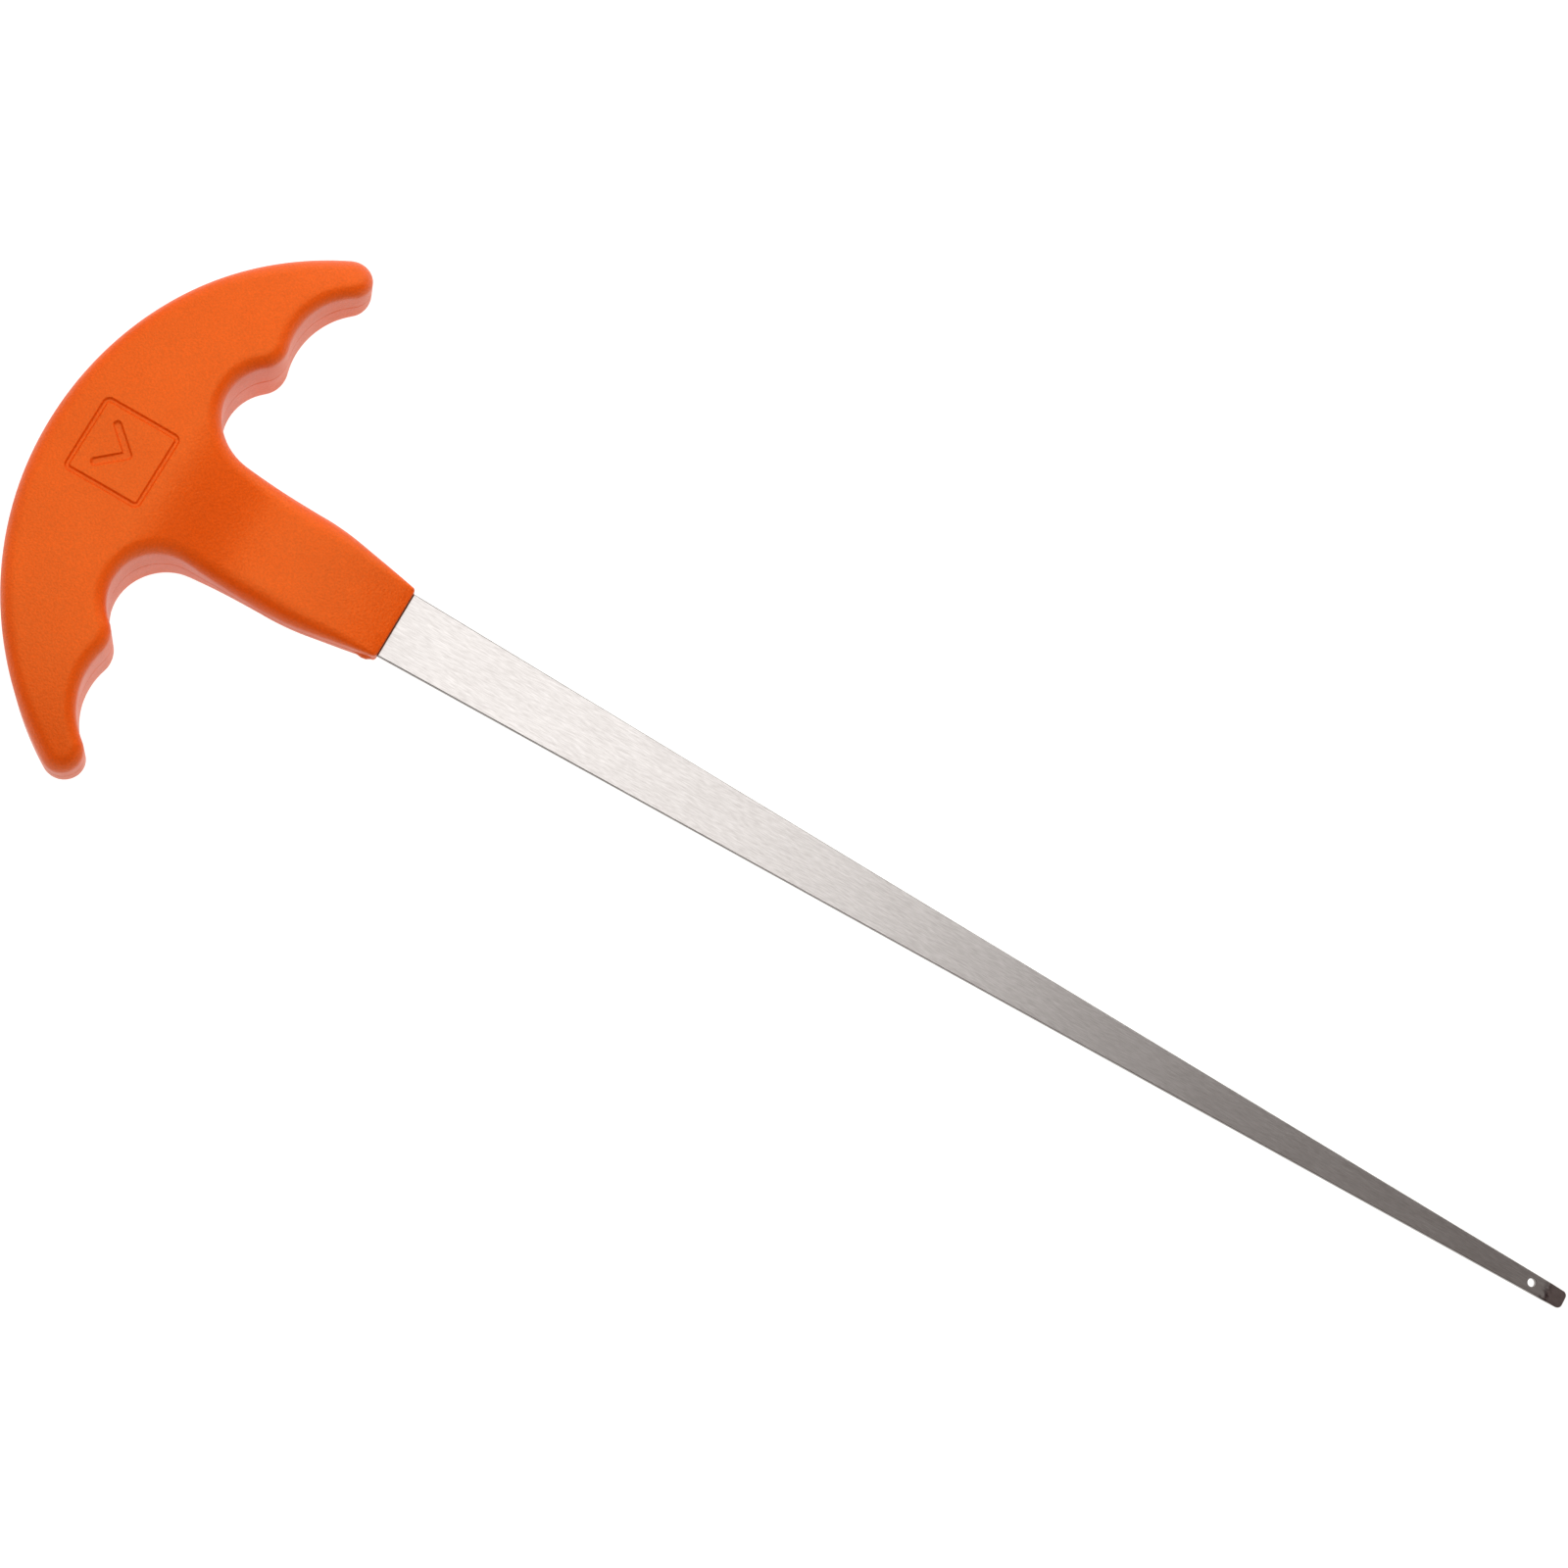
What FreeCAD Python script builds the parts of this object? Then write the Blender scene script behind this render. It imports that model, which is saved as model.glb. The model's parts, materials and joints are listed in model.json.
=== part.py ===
"""Wire threading awl: a moulded T-handle on a long flat blade that ends in an eye.

+X runs from the handle to the blade tip, +Y across the T, +Z out of the front face.
The working frame has X = 0 at the collar face and Z = 0 on the parting plane of the two
handle shells, which is also the middle of the blade. Each shape is moved at the end, so
that the origin is the bottom centre of the whole tool.
"""
import FreeCAD, Part
import math
import os

from FreeCAD import Vector

# ---------------------------------------------------------------- driving dimensions (mm)
# Handle outline: one half, as a chain of tangent arcs from the back to the collar.
handle_depth = 83.2          # collar face to the back of the handle
back_radius = 74.2           # palm side, one arc from arm to arm
tip_x = -45.4                # centre of the rounded arm tip
tip_radius = 4.55
outer_scallop_x = -32.5      # centre of the finger scallop next to the tip
outer_scallop_radius = 16.6
inner_scallop_x = -43.2      # centre of the finger scallop next to the neck
inner_scallop_radius = 11.1
lobe_radius = 6.1            # convex lobe between the two scallops
neck_half_width = 12.2
neck_bend_x = -25.7          # where the neck starts to narrow
neck_bend_radius = 61.0
collar_half_width = 8.5
collar_corner_radius = 0.8

# Handle thickness, measured from the parting plane to the crown of one shell.
crown_height = 13.6
arm_fall = 5.4               # how much the arms have thinned at |y| = arm_reach
arm_reach = 60.0
neck_profile = [             # (x, fall below the crown) along the middle of the handle
    (-90.0, 1.6),
    (-84.0, 1.0),
    (-78.0, 0.5),
    (-72.0, 0.15),
    (-66.0, 0.0),
    (-60.0, 0.0),
    (-54.0, 0.4),
    (-48.0, 2.4),
    (-42.0, 5.1),
    (-36.0, 7.1),
    (-30.0, 7.9),
    (-24.0, 8.1),
    (-18.0, 8.4),
    (-12.0, 8.85),
    (-6.0, 9.7),
    (0.0, 11.0),
    (6.0, 12.6),
]
head_front_x = -60.0         # in front of this, the fall belongs to the neck and not to the arms
neck_fade_start = 13.0       # |y| where the fall of the neck starts to fade into the arms
neck_fade_end = 33.0
crown_step = 4.0             # spacing of the points that carry the crowned face, side to side
crown_reach = 68.0
edge_rounding = [            # (x, radius) of the rounding between the face and the side walls
    (-43.2, 3.3),
    (-25.7, 4.6),
    (-12.0, 3.0),
    (0.0, 0.7),
]
parting_chamfer = 0.15       # fine V line where the shells meet
rest_land_depth = 0.3        # flat land on the rear crown, which the tool rests on

# Moulded interior.
wall = 3.0
solid_neck_x = -36.0         # from here to the collar the neck is solid plastic
rib_thickness = 1.8
rib_gap = 0.3                # ribs stop this far from the parting plane
arm_rib_y = (13.5, 38.0)
tongue_inset = 1.2           # tongue and groove that key the shells together
tongue_width = 1.2
tongue_height = 1.1
tongue_clearance = 0.1
tongue_end_x = -7.0

# Fasteners: thread-forming pan-head screws, put in from the rear.
boss_diameter = 7.0
rear_boss_diameter = 10.0
rear_boss_step = 1.4
screw_positions = [(-29.0, 0.0), (-56.0, 0.0), (-68.0, 27.0), (-68.0, -27.0), (-54.5, 50.0), (-54.5, -50.0)]
screw_seat = 3.4             # seat of the screw head, below the parting plane
shank_diameter = 3.0
shank_engagement = 4.6       # length of shank above the parting plane
head_diameter = 6.2
head_height = 2.2
recess_width = 1.0
recess_span = 3.6
recess_depth = 1.2
hole_clearance = 0.1         # radial play round the shank
head_clearance = 0.3         # radial play round the head
pilot_extra = 0.5            # pilot hole goes on past the screw point
head_crown_radius = 0.9
screw_point_chamfer = 0.6
tang_boss_diameter = 6.2     # where a screw passes through the tang

# Blade.
blade_length = 289.4         # exposed, collar face to the end
blade_root_width = 15.4
blade_tip_width = 3.9
blade_thickness = 1.5
blade_end_radius = 1.1
bevel_length = 4.4           # ground end beyond the eye
bevel_end_thickness = 0.5
eye_from_end = 8.2
eye_diameter = 2.0
eye_edge_break = 0.15
shoulder_depth = 4.0         # full blade width goes this far into the collar
tang_length = 63.0
tang_width = 13.0
tang_corner_radius = 2.0
tang_clearance = 0.1

# Sunk mark on the front face: a plain square frame with a chevron.
mark_x = -66.2
mark_size = 17.0
mark_corner_radius = 1.0
mark_groove = 0.9
mark_depth = 0.5
chevron_reach = 5.2
chevron_half_height = 4.6
chevron_stroke = 2.4         # measured along X

# ---------------------------------------------------------------- derived values
back_x = -handle_depth
overall_length = handle_depth + blade_length
centre_x = (blade_length - handle_depth) / 2
lift = crown_height - rest_land_depth    # parting plane above the surface the tool rests on

# Modelling helpers.
far = 60.0                   # taller than anything here, for cutting solids
overcut = 1.0                # how far a cutter goes past the face that it opens
tolerance = 1e-3             # for telling edges apart by their bounds
loose_tolerance = 0.05       # the same, for edges that a rounding has already touched


# ---------------------------------------------------------------- outline of the handle
def polar(centre, radius, direction):
    """Point on a circle, in the direction of a vector from its centre."""
    unit = Vector(direction)
    unit.normalize()
    return centre + unit * radius


def arc(centre, radius, start, end):
    """Short arc between two points of a circle, as an edge."""
    middle = polar(centre, radius, (start - centre) + (end - centre))
    return Part.Arc(start, middle, end).toShape()


def touching_centre(first, first_distance, second, second_distance):
    """Point at two given distances from two points, on the side of the head."""
    span = second - first
    length = span.Length
    along = (first_distance ** 2 - second_distance ** 2 + length ** 2) / (2 * length)
    aside = math.sqrt(first_distance ** 2 - along ** 2)
    unit = span / length
    normal = Vector(unit.y, -unit.x, 0)
    if normal.x > 0:
        normal = normal * -1
    return first + unit * along + normal * aside


def half_outline(inset):
    """Edges of the upper half outline, from the back to the collar, moved in by inset."""
    back_centre = Vector(back_x + back_radius, 0, 0)
    reach = back_radius - tip_radius
    tip_y = math.sqrt(reach ** 2 - (tip_x - back_centre.x) ** 2)
    tip = Vector(tip_x, tip_y, 0)
    reach = outer_scallop_radius + tip_radius
    outer_y = tip_y - math.sqrt(reach ** 2 - (outer_scallop_x - tip_x) ** 2)
    outer = Vector(outer_scallop_x, outer_y, 0)
    inner = Vector(inner_scallop_x, neck_half_width + inner_scallop_radius, 0)
    outer_reach = outer_scallop_radius + lobe_radius
    inner_reach = inner_scallop_radius + lobe_radius
    lobe = touching_centre(outer, outer_reach, inner, inner_reach)
    bend = Vector(neck_bend_x, neck_half_width - neck_bend_radius, 0)

    # the tapering side of the neck leaves the bend where it is square to the bend's radius
    collar = Vector(0, collar_half_width, 0)
    to_collar = collar - bend
    angle = math.atan2(to_collar.y, to_collar.x) + math.acos(neck_bend_radius / to_collar.Length)
    side_normal = Vector(math.cos(angle), math.sin(angle), 0)

    start = Vector(back_x + inset, 0, 0)
    back_tip = polar(back_centre, back_radius - inset, tip - back_centre)
    tip_outer = polar(tip, tip_radius - inset, outer - tip)
    outer_lobe = polar(outer, outer_scallop_radius + inset, lobe - outer)
    lobe_inner = polar(lobe, lobe_radius - inset, inner - lobe)
    inner_neck = Vector(inner_scallop_x, neck_half_width - inset, 0)
    neck_bend = Vector(neck_bend_x, neck_half_width - inset, 0)
    bend_side = bend + side_normal * (neck_bend_radius - inset)
    side_end = collar - side_normal * inset
    edges = [arc(back_centre, back_radius - inset, start, back_tip)]
    if tip_radius > inset:
        edges.append(arc(tip, tip_radius - inset, back_tip, tip_outer))
    edges.append(arc(outer, outer_scallop_radius + inset, tip_outer, outer_lobe))
    if lobe_radius > inset:
        edges.append(arc(lobe, lobe_radius - inset, outer_lobe, lobe_inner))
    edges.append(arc(inner, inner_scallop_radius + inset, lobe_inner, inner_neck))
    edges.append(Part.makeLine(inner_neck, neck_bend))
    edges.append(arc(bend, neck_bend_radius - inset, neck_bend, bend_side))
    edges.append(Part.makeLine(bend_side, side_end))
    if side_end.x < -tolerance:
        edges.append(Part.makeLine(side_end, Vector(0, side_end.y, 0)))
    return edges


def mirrored(edge):
    return edge.mirror(Vector(0, 0, 0), Vector(0, 1, 0))


def outline_face(inset):
    """Face inside the whole outline, moved in by inset; it always ends at the collar."""
    upper = half_outline(inset)
    end = upper[-1].Vertexes[-1].Point
    closing = Part.makeLine(Vector(0, end.y, 0), Vector(0, -end.y, 0))
    edges = upper + [closing] + [mirrored(edge) for edge in upper]
    wire = Part.Wire(Part.sortEdges(edges)[0])
    return Part.Face(wire)


def prism(face, low, high):
    solid = face.extrude(Vector(0, 0, high - low))
    solid.translate(Vector(0, 0, low))
    return solid


def box(low, high):
    size = Vector(*high) - Vector(*low)
    return Part.makeBox(size.x, size.y, size.z, Vector(*low))


def rod(x, y, diameter, low, high):
    return Part.makeCylinder(diameter / 2, high - low, Vector(x, y, low))


# ---------------------------------------------------------------- crowned face of the handle
def smooth_step(value, start, end):
    t = min(max((value - start) / (end - start), 0.0), 1.0)
    return t * t * (3 - 2 * t)


def crown_solid(drop):
    """Everything under the crowned face, which is lowered by drop."""
    count = round(2 * crown_reach / crown_step)
    across = [-crown_reach + crown_step * i for i in range(count + 1)]
    rows = []
    for x, fall in neck_profile:
        row = []
        for y in across:
            side = arm_fall * (y / arm_reach) ** 4
            fade = 1 - smooth_step(abs(y), neck_fade_start, neck_fade_end) if x > head_front_x else 1
            row.append(Vector(x, y, crown_height - drop - side - fall * fade))
        rows.append(row)
    surface = Part.BSplineSurface()
    surface.interpolate(rows)
    return surface.toShape().extrude(Vector(0, 0, -far))


def filleted(solid, radius_of, chamfer_of):
    """Solid with each chosen edge rounded by its own start and end radius, then chamfered."""
    document = FreeCAD.newDocument("rounding")
    base = document.addObject("Part::Feature", "base")
    base.Shape = solid
    rounding = document.addObject("Part::Fillet", "rounding")
    rounding.Base = base
    chosen = [(i + 1, edge) for i, edge in enumerate(solid.Edges)]
    rounding.Edges = [(i, *radius_of(edge)) for i, edge in chosen if radius_of(edge)]
    document.recompute()
    shape = rounding.Shape.copy()
    FreeCAD.closeDocument(document.Name)
    outer = [edge for edge in shape.Edges if chamfer_of(edge)]
    return shape.makeChamfer(parting_chamfer, outer)


def on_parting_plane(edge):
    return abs(edge.BoundBox.ZMax) < tolerance and abs(edge.BoundBox.ZMin) < tolerance


def is_chamfered(edge):
    """Edge of a side wall on the parting plane; the one across the collar stays sharp."""
    return on_parting_plane(edge) and edge.BoundBox.XMin < -collar_corner_radius


def face_edge_radii(edge):
    """Radii for the edge between the crowned face and the side walls, None for the rest."""
    bounds = edge.BoundBox
    upright = bounds.XLength < tolerance and bounds.YLength < tolerance
    at_collar = bounds.XMin > -tolerance
    if upright or at_collar or on_parting_plane(edge):
        return None
    return [rounding_at(edge.valueAt(end).x) for end in (edge.FirstParameter, edge.LastParameter)]


def rounding_at(x):
    """Rounding radius at x, in straight steps between the values of edge_rounding."""
    if x <= edge_rounding[0][0]:
        return edge_rounding[0][1]
    for (low, first), (high, second) in zip(edge_rounding[:-1], edge_rounding[1:]):
        if x <= high:
            return first + (second - first) * (x - low) / (high - low)
    return edge_rounding[-1][1]


def outer_half():
    """Outside of one shell, solid, above the parting plane."""
    block = prism(outline_face(0), 0, far)
    half = block.common(crown_solid(0))
    half = filleted(half.Solids[0], face_edge_radii, is_chamfered)
    return half.makeFillet(collar_corner_radius, [edge for edge in half.Edges if is_collar_corner(edge)])


def is_collar_corner(edge):
    """Upright edge where a side wall meets the collar face."""
    bounds = edge.BoundBox
    tall = bounds.ZLength > collar_corner_radius
    return tall and bounds.XMin > -loose_tolerance and bounds.YLength < loose_tolerance


# ---------------------------------------------------------------- inside of the shells
def cavity():
    """Hollow of one shell, above the parting plane."""
    room = prism(outline_face(wall), -overcut, far).common(crown_solid(wall))
    return room.common(box((back_x, -far * 2, 0), (solid_neck_x, far * 2, far)))


def rib_between(start, end):
    """Upright plate between two points, from just off the parting plane upwards."""
    run = end - start
    plate = Part.makeBox(run.Length, rib_thickness, far, Vector(0, -rib_thickness / 2, rib_gap))
    plate.rotate(Vector(0, 0, 0), Vector(0, 0, 1), math.degrees(math.atan2(run.y, run.x)))
    plate.translate(start)
    return plate


def ribs():
    """Ribs from screw to screw along the arms, and across each arm."""
    tang_end = Vector(*screw_positions[1], 0)
    plates = []
    for side in (1, -1):
        root = Vector(screw_positions[2][0], side * screw_positions[2][1], 0)
        end = Vector(screw_positions[4][0], side * screw_positions[4][1], 0)
        plates += [rib_between(tang_end, root), rib_between(root, end)]
        for y in arm_rib_y:
            plates.append(rib_between(Vector(back_x, side * y, 0), Vector(solid_neck_x, side * y, 0)))
    return plates


def tang_slot():
    """Room for the tang in one shell: half the blade's thickness, with clearance."""
    depth = (blade_thickness + tang_clearance) / 2
    side = tang_width / 2 + tang_clearance
    shoulder_side = blade_width_at(-shoulder_depth) / 2 + tang_clearance
    slot = box((-tang_length - tang_clearance, -side, 0), (overcut, side, depth))
    shoulder = box((-shoulder_depth - tang_clearance, -shoulder_side, 0), (overcut, shoulder_side, depth))
    return slot.fuse(shoulder)


def ring(inset, width, low, high):
    """Band that follows the outline, inside its edge, open towards the collar."""
    inner = prism(outline_face(inset + width), low - overcut, high + overcut)
    band = prism(outline_face(inset), low, high).cut(inner)
    return band.common(box((back_x, -far * 2, low), (tongue_end_x, far * 2, high)))


def blade_width_at(x):
    return blade_root_width - (blade_root_width - blade_tip_width) * x / blade_length


def is_on_tang(x, y):
    return y == 0


# ---------------------------------------------------------------- mark on the front face
def rounded_square(size, radius):
    half = size / 2
    plate = Part.makeBox(size, size, far, Vector(-half, -half, 0))
    upright = [edge for edge in plate.Edges if edge.BoundBox.ZLength > size]
    return plate.makeFillet(radius, upright)


def chevron():
    """Chevron that points towards the blade."""
    tip = Vector(chevron_reach / 2, 0, 0)
    top = Vector(-chevron_reach / 2, chevron_half_height, 0)
    bottom = Vector(-chevron_reach / 2, -chevron_half_height, 0)
    step = Vector(chevron_stroke, 0, 0)
    points = [tip, top, top - step, tip - step, bottom - step, bottom, tip]
    return Part.Face(Part.makePolygon(points)).extrude(Vector(0, 0, far))


def mark_cutter():
    """Grooves of the mark, with a floor that follows the crown."""
    outer = rounded_square(mark_size + mark_groove, mark_corner_radius + mark_groove / 2)
    inner = rounded_square(mark_size - mark_groove, mark_corner_radius - mark_groove / 2)
    grooves = outer.cut(inner).fuse(chevron())
    grooves.translate(Vector(mark_x, 0, crown_height / 2))
    return grooves.cut(crown_solid(mark_depth))


# ---------------------------------------------------------------- the pieces
def front_shell(half):
    """Front half of the handle: screw bosses with blind pilot holes, and the tongue."""
    room = cavity()
    pilot = shank_diameter + 2 * hole_clearance
    shell = half.cut(room)
    inner = [plate.common(room) for plate in ribs()]
    inner += [rod(x, y, boss_diameter, 0, far).common(room) for x, y in screw_positions]
    shell = shell.fuse(inner)
    shell = shell.cut(tang_slot())
    slot_top = (blade_thickness + tang_clearance) / 2
    bosses = [rod(x, y, tang_boss_diameter, 0, slot_top) for x, y in screw_positions if is_on_tang(x, y)]
    tongue = ring(tongue_inset, tongue_width, -tongue_height, 0)
    shell = shell.fuse(bosses + [tongue])
    for x, y in screw_positions:
        shell = shell.cut(rod(x, y, pilot, -overcut, shank_engagement + pilot_extra))
    return shell.cut(mark_cutter())


def rear_shell(half):
    """Rear half of the handle, built face up and turned over at the end."""
    room = cavity()
    shell = half.cut(room)
    inner = [plate.common(room) for plate in ribs()]
    for x, y in screw_positions:
        inner.append(rod(x, y, boss_diameter, 0, far).common(room))
        inner.append(rod(x, y, rear_boss_diameter, rear_boss_step, far).common(room))
    shell = shell.fuse(inner)
    shell = shell.cut(tang_slot())
    slot_top = (blade_thickness + tang_clearance) / 2
    bosses = [rod(x, y, tang_boss_diameter, 0, slot_top) for x, y in screw_positions if is_on_tang(x, y)]
    shell = shell.fuse(bosses)
    groove_width = tongue_width + 2 * tongue_clearance
    groove_depth = tongue_height + tongue_clearance
    shell = shell.cut(ring(tongue_inset - tongue_clearance, groove_width, -overcut, groove_depth))
    for x, y in screw_positions:
        shell = shell.cut(rod(x, y, shank_diameter + 2 * hole_clearance, -overcut, screw_seat + overcut))
        shell = shell.cut(rod(x, y, head_diameter + 2 * head_clearance, screw_seat, far))
    land = crown_height - rest_land_depth
    shell = shell.cut(box((back_x - overcut, -far * 2, land), (overcut, far * 2, far)))
    return shell.mirror(Vector(0, 0, 0), Vector(0, 0, 1))


def blade():
    """Flat tapered blade with its tang, eye and ground end."""
    root = blade_width_at(-shoulder_depth) / 2
    tip = blade_tip_width / 2
    tang = tang_width / 2
    half = [(-tang_length, tang), (-shoulder_depth, tang), (-shoulder_depth, root), (blade_length, tip)]
    corners = half + [(x, -y) for x, y in reversed(half)]
    points = [Vector(x, y, -blade_thickness / 2) for x, y in corners]
    plate = Part.Face(Part.makePolygon(points + points[:1])).extrude(Vector(0, 0, blade_thickness))
    plate = plate.makeFillet(blade_end_radius, upright_edges(plate, blade_length))
    plate = plate.makeFillet(tang_corner_radius, upright_edges(plate, -tang_length))
    for x, y in screw_positions:
        if is_on_tang(x, y):
            plate = plate.cut(rod(x, y, tang_boss_diameter + 2 * tang_clearance, -far, far))
    eye_x = blade_length - eye_from_end
    plate = plate.cut(rod(eye_x, 0, eye_diameter, -far, far))
    flare = eye_diameter / 2 + eye_edge_break
    for side in (1, -1):
        start = Vector(eye_x, 0, side * (blade_thickness / 2 - eye_edge_break))
        reach = 2 * eye_edge_break
        cone = Part.makeCone(eye_diameter / 2, flare + eye_edge_break, reach, start, Vector(0, 0, side))
        plate = plate.cut(cone)
    for side in (1, -1):
        plate = plate.cut(bevel_wedge(side))
    return plate.removeSplitter()


def upright_edges(plate, x):
    return [
        edge
        for edge in plate.Edges
        if edge.BoundBox.ZLength > blade_thickness / 2 and abs(edge.BoundBox.XMax - x) < tolerance
        and edge.BoundBox.XLength < tolerance and edge.BoundBox.YLength < tolerance
    ]


def bevel_wedge(side):
    """What is ground off one face of the blade's end."""
    start = blade_length - bevel_length
    half = blade_thickness / 2
    end_half = bevel_end_thickness / 2
    slope = (half - end_half) / bevel_length
    points = [
        Vector(start, -blade_root_width, side * half),
        Vector(blade_length + overcut, -blade_root_width, side * (end_half - slope * overcut)),
        Vector(blade_length + overcut, -blade_root_width, side * (half + overcut)),
        Vector(start, -blade_root_width, side * (half + overcut)),
    ]
    face = Part.Face(Part.makePolygon(points + points[:1]))
    return face.extrude(Vector(0, 2 * blade_root_width, 0))


def screw(x, y):
    """Pan-head thread-forming screw, head towards the rear; the thread itself is left off."""
    shank = rod(x, y, shank_diameter, -screw_seat - head_height / 2, shank_engagement)
    point = [edge for edge in shank.Edges if abs(edge.BoundBox.ZMin - shank_engagement) < tolerance]
    shank = shank.makeChamfer(screw_point_chamfer, point)
    head_top = -screw_seat - head_height
    head = rod(x, y, head_diameter, head_top, -screw_seat)
    crown = [edge for edge in head.Edges if abs(edge.BoundBox.ZMax - head_top) < tolerance]
    head = head.makeFillet(head_crown_radius, crown)
    bottom = head_top - overcut
    depth = recess_depth + overcut
    for angle in (0, 90):
        slot = Part.makeBox(recess_span, recess_width, depth, Vector(-recess_span / 2, -recess_width / 2, 0))
        slot.rotate(Vector(0, 0, 0), Vector(0, 0, 1), angle)
        slot.translate(Vector(x, y, bottom))
        head = head.cut(slot)
    return head.fuse(shank).removeSplitter()


def write(name, shape):
    """Move a piece into the tool's own frame and write it."""
    solid = shape.copy()
    solid.translate(Vector(-centre_x, 0, lift))
    solids = solid.Solids
    assert len(solids) == 1 and solids[0].isValid(), name
    solids[0].exportStep(f"parts/{name}.step")
    print(f"{name}: {solids[0].Volume:.0f} mm3")


def main():
    os.makedirs("parts", exist_ok=True)
    half = outer_half()
    write("front_shell", front_shell(half))
    write("rear_shell", rear_shell(half))
    write("blade", blade())
    for number, (x, y) in enumerate(screw_positions, start=1):
        write(f"handle_screw_{number}", screw(x, y))
    print(f"overall length {overall_length:.1f} mm, origin {centre_x:.2f} mm from the collar face")


main()
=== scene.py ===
"""Looks of the wire threading awl: moulded orange T-handle, brushed steel blade, zinc screws.

Lengths are worked in millimetres from the collar face (x), the tool's axis (y) and the
parting plane of the handle (z), and turned into the frame's metres when a mesh is made.
"""
import json
import math

import bmesh
import bpy
import numpy as np
from mathutils import Matrix, Vector
from mathutils.geometry import delaunay_2d_cdt

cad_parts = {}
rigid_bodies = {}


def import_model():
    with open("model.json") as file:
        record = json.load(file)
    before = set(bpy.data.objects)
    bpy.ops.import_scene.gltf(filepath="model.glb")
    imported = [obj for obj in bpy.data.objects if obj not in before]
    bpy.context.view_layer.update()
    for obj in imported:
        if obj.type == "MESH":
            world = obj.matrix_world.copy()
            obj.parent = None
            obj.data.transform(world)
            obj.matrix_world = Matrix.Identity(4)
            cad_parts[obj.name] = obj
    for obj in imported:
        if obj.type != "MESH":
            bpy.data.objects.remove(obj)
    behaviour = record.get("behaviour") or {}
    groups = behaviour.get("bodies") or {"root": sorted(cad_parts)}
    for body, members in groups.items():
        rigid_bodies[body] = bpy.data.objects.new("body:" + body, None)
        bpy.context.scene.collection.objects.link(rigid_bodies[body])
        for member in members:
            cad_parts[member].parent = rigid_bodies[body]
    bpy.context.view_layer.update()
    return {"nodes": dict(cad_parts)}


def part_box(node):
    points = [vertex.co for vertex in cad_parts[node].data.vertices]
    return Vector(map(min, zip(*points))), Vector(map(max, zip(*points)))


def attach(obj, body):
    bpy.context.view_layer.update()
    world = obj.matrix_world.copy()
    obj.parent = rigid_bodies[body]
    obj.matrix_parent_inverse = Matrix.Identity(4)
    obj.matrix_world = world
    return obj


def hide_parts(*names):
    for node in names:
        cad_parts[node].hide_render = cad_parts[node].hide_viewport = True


for leftover in list(bpy.data.objects):
    bpy.data.objects.remove(leftover)
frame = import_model()

# ---------------------------------------------------------------- where the CAD puts things
MM = 0.001
collar_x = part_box("front_shell")[1].x
parting_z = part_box("rear_shell")[1].z
back_x = (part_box("front_shell")[0].x - collar_x) / MM
crown_height = (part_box("front_shell")[1].z - parting_z) / MM
rest_land = (parting_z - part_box("rear_shell")[0].z) / MM
blade_end = (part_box("blade")[1].x - collar_x) / MM
tang_end = (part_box("blade")[0].x - collar_x) / MM
blade_thickness = (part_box("blade")[1].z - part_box("blade")[0].z) / MM


def screw_centre(name):
    low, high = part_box(name)
    middle = (low + high) / 2
    return ((middle.x - collar_x) / MM, middle.y / MM)


screw_names = sorted(name for name in frame["nodes"] if name.startswith("handle_screw"))
screws = {name: screw_centre(name) for name in screw_names}

# ---------------------------------------------------------------- shape of the handle (mm)
back_radius = 74.2
tip_x, tip_radius = -45.4, 4.55
outer_scallop_x, outer_scallop_radius = -32.5, 16.6
inner_scallop_x, inner_scallop_radius = -43.2, 11.1
lobe_radius = 6.1
neck_half_width = 12.2
neck_bend_x, neck_bend_radius = -25.7, 61.0
collar_half_width = 8.5
collar_corner = 0.8

arm_fall, arm_reach = 5.4, 60.0
neck_fall_x = np.arange(-90.0, 7.0, 6.0)
neck_fall = [1.6, 1.0, 0.5, 0.15, 0.0, 0.0, 0.4, 2.4, 5.1, 7.1, 7.9, 8.1, 8.4, 8.85, 9.7, 11.0, 12.6]
head_front_x = -60.0
neck_fade = (13.0, 33.0)
rounding_x = [-43.2, -25.7, -12.0, 0.0]
rounding = [3.3, 4.6, 3.0, 0.7]
rounding_steps = 9
parting_chamfer = 0.15
collar_round = 0.15
wall = 3.0
solid_neck_x = -36.0
wall_rows = 6
face_step = 1.3
outline_step = 1.1
solid_edge_angle = 34


# ---------------------------------------------------------------- outline as tangent arcs
def unit(v):
    return v / np.linalg.norm(v)


def touching_centre(first, first_distance, second, second_distance):
    """Point at two given distances from two points, on the side of the head."""
    span = second - first
    length = np.linalg.norm(span)
    along = (first_distance ** 2 - second_distance ** 2 + length ** 2) / (2 * length)
    aside = math.sqrt(first_distance ** 2 - along ** 2)
    normal = np.array([span[1], -span[0]]) / length
    if normal[0] > 0:
        normal = -normal
    return first + span / length * along + normal * aside


def turn_from(centre, point):
    return math.atan2(point[1] - centre[1], point[0] - centre[0])


def arc_points(centre, radius, start, end, step, hollow):
    """Points and outward normals along the short arc between two directions."""
    begin, finish = turn_from(centre, start), turn_from(centre, end)
    sweep = (finish - begin + math.pi) % (2 * math.pi) - math.pi
    count = max(6, math.ceil(abs(sweep) * radius / step))
    turns = begin + sweep * np.arange(count) / count
    ray = np.stack([np.cos(turns), np.sin(turns)], axis=1)
    return centre + ray * radius, -ray if hollow else ray


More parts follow.
